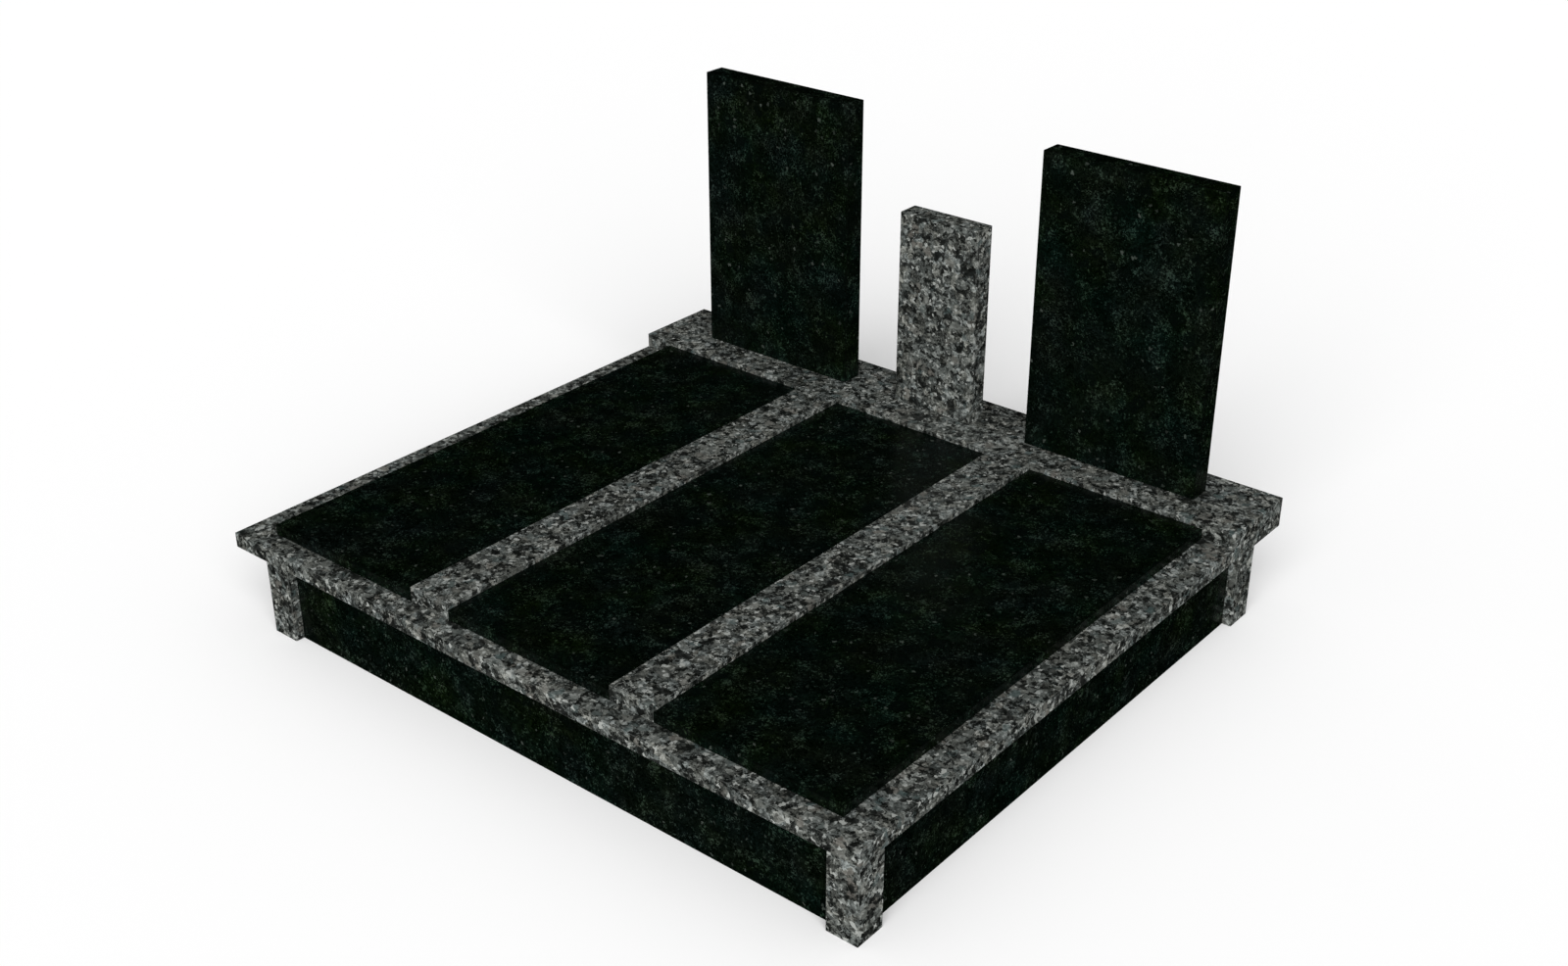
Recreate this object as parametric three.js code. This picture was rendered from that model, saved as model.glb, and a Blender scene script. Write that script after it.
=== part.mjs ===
// Family grave memorial in polished granite. A low plinth of corner posts and sunk panels carries
// a coping frame. On the frame lie the grave covers, parted by raised dividers, and at the head
// a slab on which two headstones and a centre pillar stand.
// Millimetres. X runs across the graves, +Y from the foot to the head, +Z up from the ground.
// The origin is on the ground, at the middle of the coping's outline.

import * as THREE from 'three';
import { RoundedBoxGeometry } from 'three/addons/geometries/RoundedBoxGeometry.js';

// Driving dimensions: outline and edges
const WIDTH = 2900;
const LENGTH = 2600;
const ARRIS = 2; // every stone's edges are eased by this much
const ARRIS_FACETS = 1; // facets on each half of an eased edge

// Plinth: the posts stand flush with the coping at the front and right, and back from it elsewhere
const PLINTH_HEIGHT = 295;
const POST_SIDE = 120;
const OVERHANG_LEFT = 176;
const OVERHANG_BACK = 200;
const PANEL_SETBACK = 35;
const PANEL_THICKNESS = 40;

// Coping frame: the strips run in under the covers, which rest on them
const COPING_THICKNESS = 60;
const COPING_FRONT = 200;
const COPING_LEFT = 300;
const COPING_RIGHT = 200;
const COPING_BACK = 500;

// Covers and dividers, with the margins of coping that they leave bare
const MARGIN_SIDE = 130;
const MARGIN_FRONT = 90;
const COVER_THICKNESS = 40;
const DIVIDER_WIDTH = 190;
const DIVIDER_THICKNESS = 60;
const DIVIDER_FROM_MIDDLE = 475; // centre line of the memorial to centre line of a divider

// Head: slab, headstones and pillar
const HEAD_DEPTH = 375;
const HEAD_THICKNESS = 60;
const STONE_FROM_HEAD_FRONT = 145;
const STONE_THICKNESS = 95;
const HEADSTONE_WIDTH = 750;
const HEADSTONE_HEIGHT = 1200;
const HEADSTONE_FROM_MIDDLE = 825; // centre line of the memorial to centre line of a headstone
const PILLAR_WIDTH = 370;
const PILLAR_HEIGHT = 820;

// Levels and lines worked out from the dimensions
const LEFT = -WIDTH / 2;
const RIGHT = WIDTH / 2;
const FRONT = -LENGTH / 2;
const BACK = LENGTH / 2;
const COPING_TOP = PLINTH_HEIGHT + COPING_THICKNESS;
const HEAD_TOP = COPING_TOP + HEAD_THICKNESS;
const HEAD_FRONT = BACK - HEAD_DEPTH;
const PLINTH_LEFT = LEFT + OVERHANG_LEFT;
const PLINTH_BACK = BACK - OVERHANG_BACK;

const greyGranite = new THREE.MeshStandardMaterial({ color: 0x4c4f4b, roughness: 0.35, metalness: 0 });
const darkGranite = new THREE.MeshStandardMaterial({ color: 0x0a110c, roughness: 0.25, metalness: 0 });

// One squared stone with eased edges, between a low and a high place on each axis.
function stone(name, material, [x0, x1], [y0, y1], [z0, z1]) {
  const geometry = new RoundedBoxGeometry(x1 - x0, y1 - y0, z1 - z0, ARRIS_FACETS, ARRIS);
  const mesh = new THREE.Mesh(geometry, material);
  mesh.name = name;
  mesh.position.set((x0 + x1) / 2, (y0 + y1) / 2, (z0 + z1) / 2);
  return mesh;
}

// Low and high places of a length that is centred on a line.
function centred(middle, length) {
  return [middle - length / 2, middle + length / 2];
}

// Posts at the plinth's corners, with a panel sunk between each two of them.
function plinth() {
  const group = new THREE.Group();
  const height = [0, PLINTH_HEIGHT];
  const postColumns = { left: [PLINTH_LEFT, PLINTH_LEFT + POST_SIDE], right: [RIGHT - POST_SIDE, RIGHT] };
  const postRows = { front: [FRONT, FRONT + POST_SIDE], back: [PLINTH_BACK - POST_SIDE, PLINTH_BACK] };
  for (const [row, y] of Object.entries(postRows)) {
    for (const [column, x] of Object.entries(postColumns)) {
      group.add(stone(`post_${row}_${column}`, greyGranite, x, y, height));
    }
  }
  const across = [postColumns.left[1], postColumns.right[0]];
  const along = [postRows.front[1], postRows.back[0]];
  const panelOuter = PANEL_SETBACK;
  const panelInner = PANEL_SETBACK + PANEL_THICKNESS;
  const front = [FRONT + panelOuter, FRONT + panelInner];
  const back = [PLINTH_BACK - panelInner, PLINTH_BACK - panelOuter];
  const left = [PLINTH_LEFT + panelOuter, PLINTH_LEFT + panelInner];
  const right = [RIGHT - panelInner, RIGHT - panelOuter];
  group.add(stone('panel_front', darkGranite, across, front, height));
  group.add(stone('panel_back', darkGranite, across, back, height));
  group.add(stone('panel_left', darkGranite, left, along, height));
  group.add(stone('panel_right', darkGranite, right, along, height));
  return group;
}

// Front and back strips run the full width, and the side strips butt between them.
function coping() {
  const group = new THREE.Group();
  const level = [PLINTH_HEIGHT, COPING_TOP];
  const across = [LEFT, RIGHT];
  const front = [FRONT, FRONT + COPING_FRONT];
  const back = [BACK - COPING_BACK, BACK];
  const along = [front[1], back[0]];
  group.add(stone('coping_front', greyGranite, across, front, level));
  group.add(stone('coping_back', greyGranite, across, back, level));
  group.add(stone('coping_left', greyGranite, [LEFT, LEFT + COPING_LEFT], along, level));
  group.add(stone('coping_right', greyGranite, [RIGHT - COPING_RIGHT, RIGHT], along, level));
  return group;
}

// Covers and dividers lie side by side on the coping, from its front margin to the head slab.
function covers() {
  const group = new THREE.Group();
  const along = [FRONT + MARGIN_FRONT, HEAD_FRONT];
  const coverLevel = [COPING_TOP, COPING_TOP + COVER_THICKNESS];
  const dividerLevel = [COPING_TOP, COPING_TOP + DIVIDER_THICKNESS];
  const leftDivider = centred(-DIVIDER_FROM_MIDDLE, DIVIDER_WIDTH);
  const rightDivider = centred(DIVIDER_FROM_MIDDLE, DIVIDER_WIDTH);
  group.add(stone('divider_left', greyGranite, leftDivider, along, dividerLevel));
  group.add(stone('divider_right', greyGranite, rightDivider, along, dividerLevel));
  const coverColumns = {
    left: [LEFT + MARGIN_SIDE, leftDivider[0]],
    centre: [leftDivider[1], rightDivider[0]],
    right: [rightDivider[1], RIGHT - MARGIN_SIDE],
  };
  for (const [column, x] of Object.entries(coverColumns)) {
    group.add(stone(`cover_${column}`, darkGranite, x, along, coverLevel));
  }
  return group;
}

// The head slab lies on the back strip, and the upright stones stand on it in one line.
function head() {
  const group = new THREE.Group();
  const stoneFront = HEAD_FRONT + STONE_FROM_HEAD_FRONT;
  const depth = [stoneFront, stoneFront + STONE_THICKNESS];
  const headstoneLevel = [HEAD_TOP, HEAD_TOP + HEADSTONE_HEIGHT];
  const leftHeadstone = centred(-HEADSTONE_FROM_MIDDLE, HEADSTONE_WIDTH);
  const rightHeadstone = centred(HEADSTONE_FROM_MIDDLE, HEADSTONE_WIDTH);
  const pillarLevel = [HEAD_TOP, HEAD_TOP + PILLAR_HEIGHT];
  group.add(stone('head_slab', greyGranite, [LEFT, RIGHT], [HEAD_FRONT, BACK], [COPING_TOP, HEAD_TOP]));
  group.add(stone('headstone_left', darkGranite, leftHeadstone, depth, headstoneLevel));
  group.add(stone('headstone_right', darkGranite, rightHeadstone, depth, headstoneLevel));
  group.add(stone('centre_pillar', greyGranite, centred(0, PILLAR_WIDTH), depth, pillarLevel));
  return group;
}

const memorial = new THREE.Group();
memorial.name = 'grave_memorial';
memorial.add(plinth(), coping(), covers(), head());

export default memorial;
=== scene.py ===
import itertools
import math

import bmesh
import bpy
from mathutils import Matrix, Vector


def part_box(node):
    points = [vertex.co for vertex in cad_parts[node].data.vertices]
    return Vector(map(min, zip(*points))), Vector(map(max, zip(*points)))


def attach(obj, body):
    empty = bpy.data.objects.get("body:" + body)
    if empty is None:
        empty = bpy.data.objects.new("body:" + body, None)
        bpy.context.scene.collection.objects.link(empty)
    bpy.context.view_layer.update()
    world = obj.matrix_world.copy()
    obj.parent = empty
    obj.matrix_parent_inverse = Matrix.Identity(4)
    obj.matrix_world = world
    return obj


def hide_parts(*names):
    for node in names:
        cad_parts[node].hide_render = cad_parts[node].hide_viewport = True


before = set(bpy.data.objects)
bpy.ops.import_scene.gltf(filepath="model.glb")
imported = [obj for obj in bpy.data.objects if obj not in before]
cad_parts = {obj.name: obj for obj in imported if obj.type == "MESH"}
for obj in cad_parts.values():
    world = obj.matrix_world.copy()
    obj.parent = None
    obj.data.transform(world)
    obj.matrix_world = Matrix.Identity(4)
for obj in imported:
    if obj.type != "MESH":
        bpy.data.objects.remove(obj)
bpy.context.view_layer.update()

# Camera, floor and light.
# The camera stands beyond the foot of the graves, to the right, and looks down on the covers.
# A plain pale floor and broad soft light show the polished stone without hard shadows.
CAMERA_AZIMUTH = math.radians(39.515)
CAMERA_ELEVATION = math.radians(27.680)
CAMERA_DISTANCE = 6.3095
CAMERA_AIM = Vector((0.4356, -0.4071, 0.8289))
CAMERA_LENS_MM = 43.51
SENSOR_WIDTH_MM = 36.0

FLOOR_HALF_SIDE = 400.0
FLOOR_COLOUR = (0.95, 0.95, 0.95, 1.0)
FLOOR_ROUGHNESS = 0.9
SKY_COLOUR = (1.0, 1.0, 1.0, 1.0)
SKY_STRENGTH = 0.45
KEY_AZIMUTH = math.radians(36.0)
KEY_ELEVATION = math.radians(30.0)
KEY_STRENGTH = 3.8
KEY_SPREAD = math.radians(70.0)


def direction_from(azimuth, elevation):
    """Unit vector from the memorial towards a place at that bearing and height."""
    level = math.cos(elevation)
    return Vector((math.sin(azimuth) * level, -math.cos(azimuth) * level, math.sin(elevation)))


scene = bpy.context.scene
scene.view_settings.view_transform = "Standard"

camera_back = direction_from(CAMERA_AZIMUTH, CAMERA_ELEVATION)
camera_data = bpy.data.cameras.new("camera")
camera_data.sensor_width = SENSOR_WIDTH_MM
camera_data.lens = CAMERA_LENS_MM
camera = bpy.data.objects.new("camera", camera_data)
camera.location = CAMERA_AIM + camera_back * CAMERA_DISTANCE
camera.rotation_euler = (-camera_back).to_track_quat("-Z", "Y").to_euler()
scene.collection.objects.link(camera)
scene.camera = camera

floor_mesh = bpy.data.meshes.new("floor")
floor_bm = bmesh.new()
bmesh.ops.create_grid(floor_bm, x_segments=1, y_segments=1, size=FLOOR_HALF_SIDE)
floor_bm.to_mesh(floor_mesh)
floor_bm.free()
floor_material = bpy.data.materials.new("pale_floor")
floor_material.use_nodes = True
floor_shader = floor_material.node_tree.nodes["Principled BSDF"]
floor_shader.inputs["Base Color"].default_value = FLOOR_COLOUR
floor_shader.inputs["Roughness"].default_value = FLOOR_ROUGHNESS
floor_shader.inputs["Specular IOR Level"].default_value = 0.0
floor_mesh.materials.append(floor_material)
floor = bpy.data.objects.new("floor", floor_mesh)
scene.collection.objects.link(floor)
floor.visible_glossy = False

world = bpy.data.worlds.new("soft_sky")
world.use_nodes = True
sky = world.node_tree.nodes["Background"]
sky.inputs["Color"].default_value = SKY_COLOUR
sky.inputs["Strength"].default_value = SKY_STRENGTH
scene.world = world
world.cycles_visibility.glossy = False

key_data = bpy.data.lights.new("key", "SUN")
key_data.energy = KEY_STRENGTH
key_data.angle = KEY_SPREAD
key = bpy.data.objects.new("key", key_data)
key.rotation_euler = (-direction_from(KEY_AZIMUTH, KEY_ELEVATION)).to_track_quat("-Z", "Y").to_euler()
key.visible_glossy = False
scene.collection.objects.link(key)

# Corner posts.
# Squared grey granite posts stand on the ground at the corners of the plinth and carry the coping.
# They are sawn, polished on all sides, and their edges are eased and honed by hand.
ARRIS = 0.002
ARRIS_SEGMENTS = 3
BLOCK_STEP = 3.7  # the stones come from places this far apart in the rock, so no two look alike

MIDDLE = 0.5  # the random numbers and noises lie about this
NOISE_DETAIL = 2.0
FINE_PER_COARSE = 2.2  # sizes of the coarse grains to the fine ones
GRAIN_PUSH = 1.6  # how far the grains' outlines wander, in grains
CRYSTAL_PUSH = 0.9  # and how far the large crystals' outlines wander, in crystals
CRYSTAL_PUSH_SCALE = 1.3
CRYSTAL_RIM = (0.02, 0.22)  # a crystal fades in over this much of its cell
FLECK_EDGE = 0.02  # flecks and strings fade in over this much of their rank
STRING_EDGE = 0.06
STRETCH_SCALE = 0.9  # broken stretches of strung grains, to one crystal
STRETCH_DETAIL = 3.0
STRING_WIDTH = 0.3  # strings reach this far in from a crystal's rim, to one crystal
GRAIN_PULL = 0.65  # how far a grain's own lot counts in stringing it
CRYSTAL_TONE = 0.34  # how far the tone of the grains shifts from one large crystal to the next

GREY_GRAIN = 0.0135
GREY_COARSE_PART = 0.62  # part of a grain's tone that the coarse grains give
GREY_CRYSTAL = 0.036
GREY_CRYSTAL_SHARE = 0.28
GREY_RIM_PULL = 0.08
GREY_STRETCH_PULL = 1.9
GREY_MICA_START = 0.495
GREY_FLECK_SHARE = 0.06
GREY_TONES = (
    (0.05, (0.005, 0.0058, 0.005, 1.0)),
    (0.40, (0.045, 0.0493, 0.045, 1.0)),
    (0.70, (0.119, 0.128, 0.118, 1.0)),
    (0.95, (0.270, 0.284, 0.267, 1.0)),
)
GREY_COOL_CRYSTAL = (0.050, 0.075, 0.073, 1.0)
GREY_WARM_CRYSTAL = (0.118, 0.110, 0.097, 1.0)
GREY_CRYSTAL_COVER = 0.65
GREY_COOL_TINT = (0.965, 1.0, 1.035, 1.0)  # the grains of each large crystal share a faint tint
GREY_WARM_TINT = (1.035, 1.0, 0.965, 1.0)
GREY_FLECK = (0.29, 0.303, 0.285, 1.0)
GREY_MICA = (0.0040, 0.0048, 0.0041, 1.0)
GREY_MICA_COVER = 0.92
GREY_ARRIS = (0.14, 0.150, 0.14, 1.0)
GREY_ARRIS_COVER = 0.2
GREY_SPECULAR = 0.5
POLISHED_ROUGHNESS = 0.24
STRUNG_ROUGHNESS = 0.16  # rougher by this much on the strung grains
ARRIS_ROUGHNESS = 0.25  # and by this much on the honed edges
RELIEF_DEPTH = 0.00002  # the polish leaves the hard grains this much above the soft ones


def add_node(tree, kind, values=None, links=None, **settings):
    """One shader node, with its settings, its sockets' values and the sockets that feed it."""
    node = tree.nodes.new(kind)
    for name, value in settings.items():
        setattr(node, name, value)
    for socket, value in (values or {}).items():
        node.inputs[socket].default_value = value
    for socket, source in (links or {}).items():
        tree.links.new(source, node.inputs[socket])
    return node


def feed(tree, socket, term):
    """Give a socket a number, a colour or another socket."""
    if isinstance(term, bpy.types.NodeSocket):
        tree.links.new(term, socket)
    else:
        socket.default_value = term


def arithmetic(tree, operation, a, b):
    """Result of a Math node. Each of a and b is a number or a socket."""
    node = add_node(tree, "ShaderNodeMath", operation=operation)
    feed(tree, node.inputs[0], a)
    feed(tree, node.inputs[1], b)
    return node.outputs[0]


def mix_number(tree, factor, a, b):
    """Result of a number Mix node. Each of the terms is a number or a socket."""
    node = add_node(tree, "ShaderNodeMix", data_type="FLOAT")
    feed(tree, node.inputs[0], factor)
    feed(tree, node.inputs[2], a)
    feed(tree, node.inputs[3], b)
    return node.outputs[0]


def mix_colour(tree, factor, a, b, blend="MIX"):
    """Result of a colour Mix node. Each of the terms is a value or a socket."""
    node = add_node(tree, "ShaderNodeMix", data_type="RGBA", blend_type=blend)
    feed(tree, node.inputs[0], factor)
    feed(tree, node.inputs[6], a)
    feed(tree, node.inputs[7], b)
    return node.outputs[2]


def smooth_step(tree, value, start, end):
    """Value eased from 0 to 1 as it goes from start to end."""
    node = add_node(tree, "ShaderNodeMapRange", interpolation_type="SMOOTHSTEP")
    feed(tree, node.inputs["Value"], value)
    feed(tree, node.inputs["From Min"], start)
    feed(tree, node.inputs["From Max"], end)
    return node.outputs["Result"]


def colour_ramp(tree, factor, stops):
    """Colour that goes through the stops, each a place and a colour."""
    node = add_node(tree, "ShaderNodeValToRGB", links={0: factor})
    elements = node.color_ramp.elements
    for place, colour in stops[2:]:
        elements.new(place).color = colour
    for element, (place, colour) in zip(elements, stops):
        element.position = place
        element.color = colour
    return node.outputs[0]


def noise(tree, vector, scale, detail=NOISE_DETAIL):
    """Noise node at a scale that is a number or a socket."""
    node = add_node(tree, "ShaderNodeTexNoise", values={"Detail": detail}, links={"Vector": vector})
    feed(tree, node.inputs["Scale"], scale)
    return node


def cells(tree, vector, scale, feature="F1"):
    """Voronoi node: crystals that fill the stone at a scale that is a socket."""
    return add_node(
        tree, "ShaderNodeTexVoronoi", links={"Vector": vector, "Scale": scale}, feature=feature
    )


def random_parts(tree, voronoi):
    """Three random numbers that are the same all over one crystal."""
    return add_node(tree, "ShaderNodeSeparateColor", links={0: voronoi.outputs["Color"]}).outputs


def pushed(tree, vector, scale, reach):
    """Coordinates pushed about by a noise, so that the crystals drawn on them get crooked outlines."""
    push = noise(tree, vector, scale)
    swing = add_node(
        tree, "ShaderNodeVectorMath", operation="SUBTRACT", links={0: push.outputs["Color"]}
    )
    swing.inputs[1].default_value = (MIDDLE, MIDDLE, MIDDLE)
    shift = add_node(
        tree, "ShaderNodeVectorMath", operation="SCALE", links={0: swing.outputs[0], "Scale": reach}
    )
    return add_node(
        tree, "ShaderNodeVectorMath", operation="ADD", links={0: vector, 1: shift.outputs[0]}
    ).outputs[0]


def new_group(name, inputs, outputs):
    """Empty shader node group with a vector input, number inputs and number outputs."""
    tree = bpy.data.node_groups.new(name, "ShaderNodeTree")
    tree.interface.new_socket("Vector", in_out="INPUT", socket_type="NodeSocketVector")
    for socket in inputs:
        tree.interface.new_socket(socket, in_out="INPUT", socket_type="NodeSocketFloat")
    for socket in outputs:
        tree.interface.new_socket(socket, in_out="OUTPUT", socket_type="NodeSocketFloat")
    return tree


def granite_minerals():
    """Node group: tone of the small grains, large crystals, strings of a second mineral, and flecks."""
    tree = new_group(
        "granite_minerals",
        (
            "Grain Size",
            "Coarse Part",
            "Crystal Size",
            "Crystal Share",
            "Rim Pull",
            "Stretch Pull",
            "String Start",
            "Fleck Share",
        ),
        ("Tone", "Crystal", "Crystal Tint", "Strung", "Fleck"),
    )
    given = add_node(tree, "NodeGroupInput").outputs
    per_grain = arithmetic(tree, "DIVIDE", 1.0, given["Grain Size"])
    per_crystal = arithmetic(tree, "DIVIDE", 1.0, given["Crystal Size"])

    # Small grains, in two sizes that share their outlines here and there
    grain_reach = arithmetic(tree, "MULTIPLY", given["Grain Size"], GRAIN_PUSH)
    grain_place = pushed(tree, given["Vector"], per_grain, grain_reach)
    per_fine = arithmetic(tree, "MULTIPLY", per_grain, FINE_PER_COARSE)
    coarse = random_parts(tree, cells(tree, grain_place, per_grain))
    fine = random_parts(tree, cells(tree, grain_place, per_fine))
    grain_tone = mix_number(tree, given["Coarse Part"], fine[0], coarse[0])

    # Flecks: a small share of the grains
    fleck_start = arithmetic(tree, "SUBTRACT", 1.0, given["Fleck Share"])
    fleck_full = arithmetic(tree, "ADD", fleck_start, FLECK_EDGE)
    fleck = smooth_step(tree, coarse[1], fleck_start, fleck_full)

    # Large crystals: a share of the cells, soft at the rim
    crystal_reach = arithmetic(tree, "MULTIPLY", given["Crystal Size"], CRYSTAL_PUSH)
    crystal_push = arithmetic(tree, "MULTIPLY", per_crystal, CRYSTAL_PUSH_SCALE)
    crystal_place = pushed(tree, given["Vector"], crystal_push, crystal_reach)
    large = random_parts(tree, cells(tree, crystal_place, per_crystal))
    rim = cells(tree, crystal_place, per_crystal, feature="DISTANCE_TO_EDGE").outputs["Distance"]
    chosen = arithmetic(tree, "LESS_THAN", large[0], given["Crystal Share"])
    crystal = arithmetic(tree, "MULTIPLY", chosen, smooth_step(tree, rim, *CRYSTAL_RIM))
    swing = arithmetic(tree, "SUBTRACT", large[2], MIDDLE)
    shift = arithmetic(tree, "MULTIPLY", swing, CRYSTAL_TONE)
    tone = arithmetic(tree, "ADD", grain_tone, shift)

    # Strings: grains of a second mineral that crowd along the rims, in broken stretches
    nearness = smooth_step(tree, rim, STRING_WIDTH, 0.0)
    at_rim = arithmetic(tree, "MULTIPLY", nearness, given["Rim Pull"])
    stretch_scale = arithmetic(tree, "MULTIPLY", per_crystal, STRETCH_SCALE)
    stretch = noise(tree, given["Vector"], stretch_scale, detail=STRETCH_DETAIL).outputs["Fac"]
    stretch = arithmetic(tree, "SUBTRACT", stretch, MIDDLE)
    in_stretch = arithmetic(tree, "MULTIPLY", stretch, given["Stretch Pull"])
    lot = mix_number(tree, given["Coarse Part"], fine[1], coarse[2])
    by_place = arithmetic(tree, "ADD", at_rim, in_stretch)
    rank = arithmetic(tree, "ADD", arithmetic(tree, "MULTIPLY", lot, GRAIN_PULL), by_place)
    string_full = arithmetic(tree, "ADD", given["String Start"], STRING_EDGE)
    strung = smooth_step(tree, rank, given["String Start"], string_full)

    out = add_node(tree, "NodeGroupOutput").inputs
    tree.links.new(tone, out["Tone"])
    tree.links.new(crystal, out["Crystal"])
    tree.links.new(large[1], out["Crystal Tint"])
    tree.links.new(strung, out["Strung"])
    tree.links.new(fleck, out["Fleck"])
    return tree


MINERALS = granite_minerals()
quarry = itertools.count()


def rock_place(tree):
    """Coordinates of one stone in the rock that it was cut from."""
    place = add_node(tree, "ShaderNodeTexCoord")
    cut = add_node(tree, "ShaderNodeMapping", links={"Vector": place.outputs["Object"]})
    cut.inputs["Location"].default_value = (BLOCK_STEP * next(quarry), 0.0, 0.0)
    return cut.outputs[0]


def placed_group(tree, group, vector, **sizes):
    """Node group on the stone, with its own values. Returns its outputs."""
    node = add_node(tree, "ShaderNodeGroup", node_tree=group, links={"Vector": vector})
    for name, value in sizes.items():
        node.inputs[name.replace("_", " ").title()].default_value = value
    return node.outputs


def granite_roughness(tree, strung, arris):
    """Polish that is a little duller on the strung grains and on the honed edges."""
    on_strung = arithmetic(tree, "MULTIPLY", strung, STRUNG_ROUGHNESS)
    on_arris = arithmetic(tree, "MULTIPLY", arris, ARRIS_ROUGHNESS)
    duller = arithmetic(tree, "ADD", on_strung, on_arris)
    return arithmetic(tree, "ADD", duller, POLISHED_ROUGHNESS)


def granite_relief(tree, height):
    """Normal of the polish, which takes the soft grains down a hair more than the hard ones."""
    values = {"Distance": RELIEF_DEPTH}
    return add_node(tree, "ShaderNodeBump", values=values, links={"Height": height}).outputs["Normal"]


def grey_granite(name):
    """Polished mid-grey granite: feldspar and quartz grains, strings of black mica, honed edges."""
    material = bpy.data.materials.new(name)
    material.use_nodes = True
    tree = material.node_tree
    shader = tree.nodes["Principled BSDF"]
    rock = rock_place(tree)
    mineral = placed_group(
        tree,
        MINERALS,
        rock,
        grain_size=GREY_GRAIN,
        coarse_part=GREY_COARSE_PART,
        crystal_size=GREY_CRYSTAL,
        crystal_share=GREY_CRYSTAL_SHARE,
        rim_pull=GREY_RIM_PULL,
        stretch_pull=GREY_STRETCH_PULL,
        string_start=GREY_MICA_START,
        fleck_share=GREY_FLECK_SHARE,
    )
    arris = add_node(tree, "ShaderNodeAttribute", attribute_name="arris").outputs["Fac"]
    colour = colour_ramp(tree, mineral["Tone"], GREY_TONES)
    tint = mix_colour(tree, mineral["Crystal Tint"], GREY_COOL_TINT, GREY_WARM_TINT)
    colour = mix_colour(tree, 1.0, colour, tint, blend="MULTIPLY")
    crystal = mix_colour(tree, mineral["Crystal Tint"], GREY_COOL_CRYSTAL, GREY_WARM_CRYSTAL)
    crystal_cover = arithmetic(tree, "MULTIPLY", mineral["Crystal"], GREY_CRYSTAL_COVER)
    colour = mix_colour(tree, crystal_cover, colour, crystal)
    colour = mix_colour(tree, mineral["Fleck"], colour, GREY_FLECK)
    mica_cover = arithmetic(tree, "MULTIPLY", mineral["Strung"], GREY_MICA_COVER)
    colour = mix_colour(tree, mica_cover, colour, GREY_MICA)
    arris_cover = arithmetic(tree, "MULTIPLY", arris, GREY_ARRIS_COVER)
    colour = mix_colour(tree, arris_cover, colour, GREY_ARRIS)
    tree.links.new(colour, shader.inputs["Base Color"])
    tree.links.new(granite_roughness(tree, mineral["Strung"], arris), shader.inputs["Roughness"])
    hardness = arithmetic(tree, "SUBTRACT", mineral["Tone"], mineral["Strung"])
    tree.links.new(granite_relief(tree, hardness), shader.inputs["Normal"])
    shader.inputs["Specular IOR Level"].default_value = GREY_SPECULAR
    return material


def squared_stone(name, node, material):
    """Stone of its node's size with eased edges. They are marked for the honed finish, and on the dark
    granite also for a painted shade along them.
    """
    low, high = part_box(node)
    bm = bmesh.new()
    bmesh.ops.create_cube(bm, size=1.0)
    bmesh.ops.scale(bm, vec=high - low, verts=bm.verts)
    bmesh.ops.translate(bm, vec=(low + high) / 2, verts=bm.verts)
    arris = bm.faces.layers.float.new("arris")
    eased = bmesh.ops.bevel(
        bm,
        geom=bm.edges[:],
        offset=ARRIS,
        offset_type="OFFSET",
        affect="EDGES",
        segments=ARRIS_SEGMENTS,
        profile=0.5,
        material=-1,
    )
    for face in eased["faces"]:
        face[arris] = 1.0
        face.smooth = True
    mesh = bpy.data.meshes.new(name)
    bm.to_mesh(mesh)
    bm.free()
    mesh.materials.append(material)
    stone = bpy.data.objects.new(name, mesh)
    scene.collection.objects.link(stone)
    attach(stone, "root")
    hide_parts(node)
    return stone


for corner in ("front_left", "front_right", "back_left", "back_right"):
    post_granite = grey_granite(f"post_granite_{corner}")
    squared_stone(f"post_stone_{corner}", f"post_{corner}", post_granite)

# Sunk panels.
# Thin dark granite panels close the plinth between the posts, set back from the posts' faces.
# They are polished outside, and the coping bears on their upper edges.
DARK_GRAIN = 0.010
DARK_COARSE_PART = 0.40
DARK_CRYSTAL = 0.055
DARK_CRYSTAL_SHARE = 0.25
DARK_RIM_PULL = 0.0
DARK_STRETCH_PULL = 0.9
DARK_PALE_START = 0.47
DARK_FLECK_SHARE = 0.008
DARK_MOSS = (0.0015, 0.0035, 0.0007, 1.0)
DARK_TEAL = (0.0008, 0.0032, 0.0021, 1.0)
DARK_SLATE = (0.0027, 0.0030, 0.0034, 1.0)
DARK_TONES = (
    (0.10, (0.08, 0.30, 0.12, 1.0)),
    (0.30, (0.45, 0.58, 0.48, 1.0)),
    (0.65, (1.10, 1.05, 1.10, 1.0)),
    (0.95, (2.40, 2.20, 2.40, 1.0)),
)
DARK_SLATE_COVER = 0.45
DARK_SMOOTH_CRYSTAL = (0.0009, 0.0021, 0.0016, 1.0)
DARK_CRYSTAL_COVER = 0.7
DARK_PALE_GRAIN = (0.0250, 0.0385, 0.0270, 1.0)
DARK_PALE_GAIN = (11.5, 10.5, 12.0, 1.0)  # a pale grain is that much lighter than the drift it lies in
DARK_PALE_TINT = 0.55
DARK_PALE_TONES = (0.25, 1.0)  # the strung grains get paler with their tone between these
DARK_FLECK = (0.110, 0.130, 0.112, 1.0)
# Painted shade: the dark granite's edges are painted near-black to stand in for the shade in the joints
# between the stones. Their duller roughness is the real honed finish.
DARK_EDGE_PAINTED_SHADE = (0.0010, 0.0016, 0.0011, 1.0)
DARK_EDGE_SHADE_COVER = 0.8
DARK_SPECULAR = 0.08
CLOUD_SIZE = 0.20
CLOUD_DETAIL = 5.0
CLOUD_RANGE = (0.30, 0.70)  # a drift fades in over this much of its noise


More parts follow.
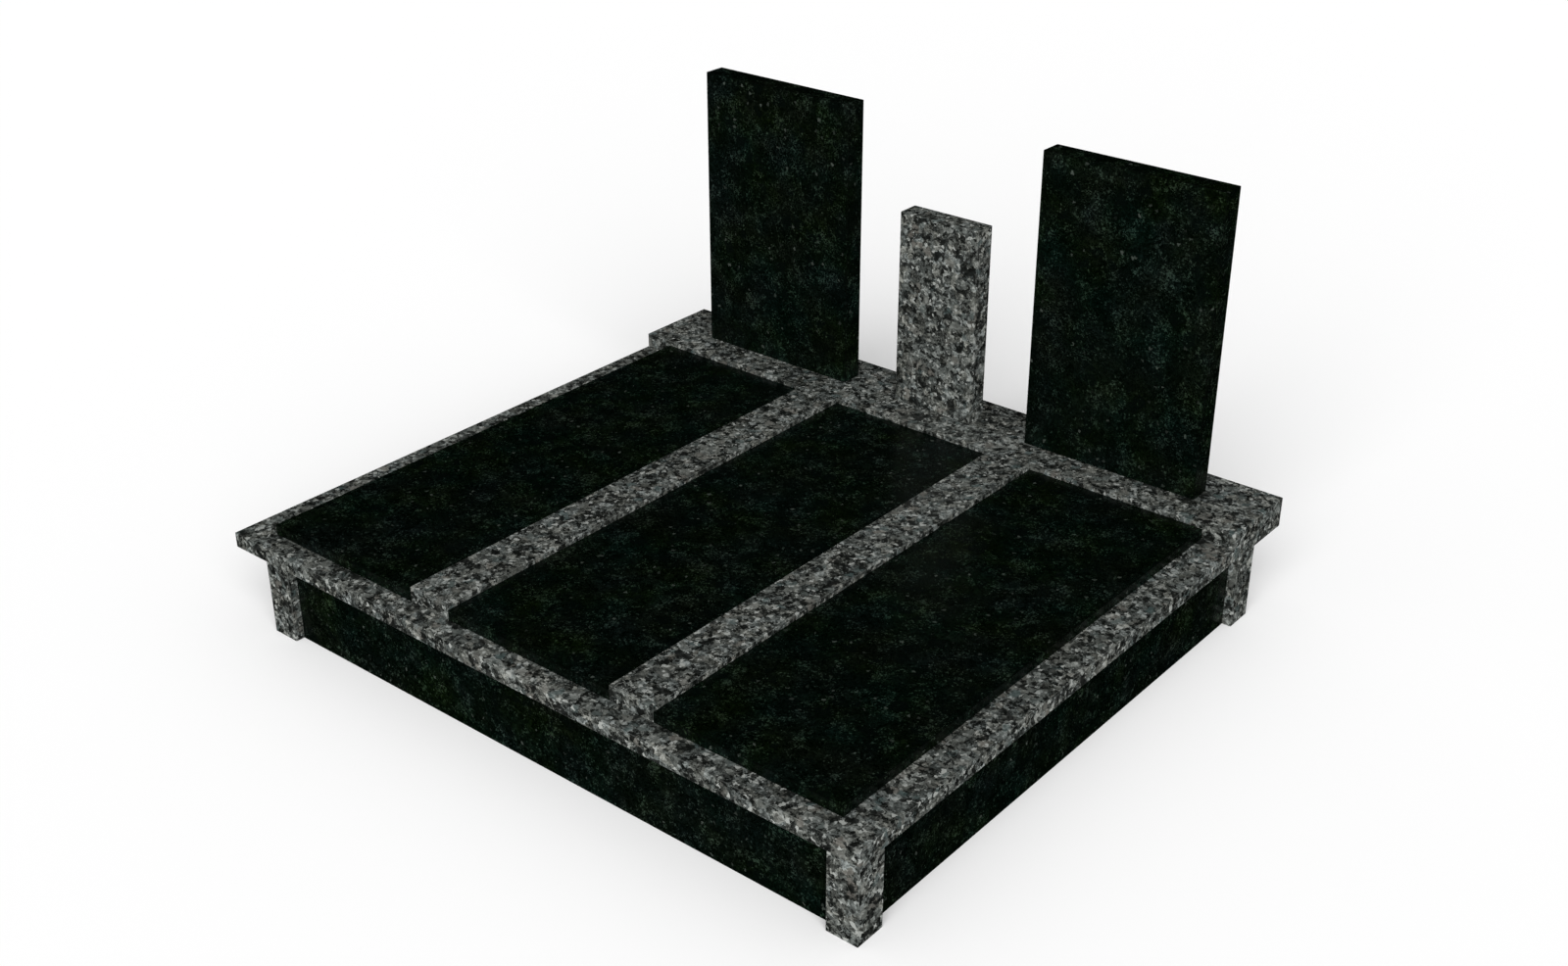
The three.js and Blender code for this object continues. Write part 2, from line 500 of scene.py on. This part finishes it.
def mineral_clouds():
    """Node group: three broad drifts through the rock that don't follow each other."""
    tree = new_group("mineral_clouds", ("Cloud Size",), ("First", "Second", "Third"))
    given = add_node(tree, "NodeGroupInput").outputs
    per_cloud = arithmetic(tree, "DIVIDE", 1.0, given["Cloud Size"])
    drift = noise(tree, given["Vector"], per_cloud, detail=CLOUD_DETAIL)
    parts = add_node(tree, "ShaderNodeSeparateColor", links={0: drift.outputs["Color"]}).outputs
    out = add_node(tree, "NodeGroupOutput").inputs
    for name, part in zip(("First", "Second", "Third"), parts):
        tree.links.new(smooth_step(tree, part, *CLOUD_RANGE), out[name])
    return tree


CLOUDS = mineral_clouds()


def dark_granite(name):
    """Polished near-black granite: moss, teal and slate tints, small pale grains, sparse flecks, and
    painted shade along the edges.
    """
    material = bpy.data.materials.new(name)
    material.use_nodes = True
    tree = material.node_tree
    shader = tree.nodes["Principled BSDF"]
    rock = rock_place(tree)
    mineral = placed_group(
        tree,
        MINERALS,
        rock,
        grain_size=DARK_GRAIN,
        coarse_part=DARK_COARSE_PART,
        crystal_size=DARK_CRYSTAL,
        crystal_share=DARK_CRYSTAL_SHARE,
        rim_pull=DARK_RIM_PULL,
        stretch_pull=DARK_STRETCH_PULL,
        string_start=DARK_PALE_START,
        fleck_share=DARK_FLECK_SHARE,
    )
    drift = placed_group(tree, CLOUDS, rock, cloud_size=CLOUD_SIZE)
    arris = add_node(tree, "ShaderNodeAttribute", attribute_name="arris").outputs["Fac"]
    hue = mix_colour(tree, drift["First"], DARK_MOSS, DARK_TEAL)
    slate_cover = arithmetic(tree, "MULTIPLY", drift["Second"], DARK_SLATE_COVER)
    hue = mix_colour(tree, slate_cover, hue, DARK_SLATE)
    tone = colour_ramp(tree, mineral["Tone"], DARK_TONES)
    colour = mix_colour(tree, 1.0, hue, tone, blend="MULTIPLY")
    crystal_cover = arithmetic(tree, "MULTIPLY", mineral["Crystal"], DARK_CRYSTAL_COVER)
    colour = mix_colour(tree, crystal_cover, colour, DARK_SMOOTH_CRYSTAL)
    paleness = smooth_step(tree, mineral["Tone"], *DARK_PALE_TONES)
    pale_cover = arithmetic(tree, "MULTIPLY", mineral["Strung"], paleness)
    lit_hue = mix_colour(tree, 1.0, hue, DARK_PALE_GAIN, blend="MULTIPLY")
    pale_grain = mix_colour(tree, DARK_PALE_TINT, DARK_PALE_GRAIN, lit_hue)
    colour = mix_colour(tree, pale_cover, colour, pale_grain)
    colour = mix_colour(tree, mineral["Fleck"], colour, DARK_FLECK)
    # Painted shade: darken the edges towards near-black, as the shade in the joints.
    arris_cover = arithmetic(tree, "MULTIPLY", arris, DARK_EDGE_SHADE_COVER)
    colour = mix_colour(tree, arris_cover, colour, DARK_EDGE_PAINTED_SHADE)
    tree.links.new(colour, shader.inputs["Base Color"])
    tree.links.new(granite_roughness(tree, mineral["Strung"], arris), shader.inputs["Roughness"])
    hardness = arithmetic(tree, "ADD", mineral["Tone"], mineral["Strung"])
    tree.links.new(granite_relief(tree, hardness), shader.inputs["Normal"])
    shader.inputs["Specular IOR Level"].default_value = DARK_SPECULAR
    return material


for side in ("front", "back", "left", "right"):
    panel_granite = dark_granite(f"panel_granite_{side}")
    squared_stone(f"panel_stone_{side}", f"panel_{side}", panel_granite)

# Coping.
# Flat grey granite strips lie on the posts and panels as a frame around the graves.
# The front and back strips run through, and the side strips butt between them.
for side in ("front", "back", "left", "right"):
    coping_granite = grey_granite(f"coping_granite_{side}")
    squared_stone(f"coping_stone_{side}", f"coping_{side}", coping_granite)

# Dividers.
# Long grey granite strips part the graves. They lie on the coping between the covers,
# run from its front margin to the head slab, and stand a little above the covers.
for side in ("left", "right"):
    divider_granite = grey_granite(f"divider_granite_{side}")
    squared_stone(f"divider_stone_{side}", f"divider_{side}", divider_granite)

# Covers.
# Dark granite slabs close the graves, polished on top and along their edges.
# Each rests on the coping by its own weight and butts against its dividers.
for side in ("left", "centre", "right"):
    cover_granite = dark_granite(f"cover_granite_{side}")
    squared_stone(f"cover_stone_{side}", f"cover_{side}", cover_granite)

# Head slab.
# One grey granite slab lies across the head of the graves, on the back strip of the coping.
# It carries the upright stones and stops the covers and dividers.
head_granite = grey_granite("head_slab_granite")
squared_stone("head_slab_stone", "head_slab", head_granite)

# Headstones.
# Two upright dark granite slabs, polished all round, with bare faces.
# They stand on the head slab by their own weight.
for side in ("left", "right"):
    headstone_granite = dark_granite(f"headstone_granite_{side}")
    squared_stone(f"headstone_stone_{side}", f"headstone_{side}", headstone_granite)

# Centre pillar.
# A short upright of the grey granite, polished all round.
# It stands on the head slab between the headstones, in line with them.
pillar_granite = grey_granite("pillar_granite")
squared_stone("pillar_stone", "centre_pillar", pillar_granite)
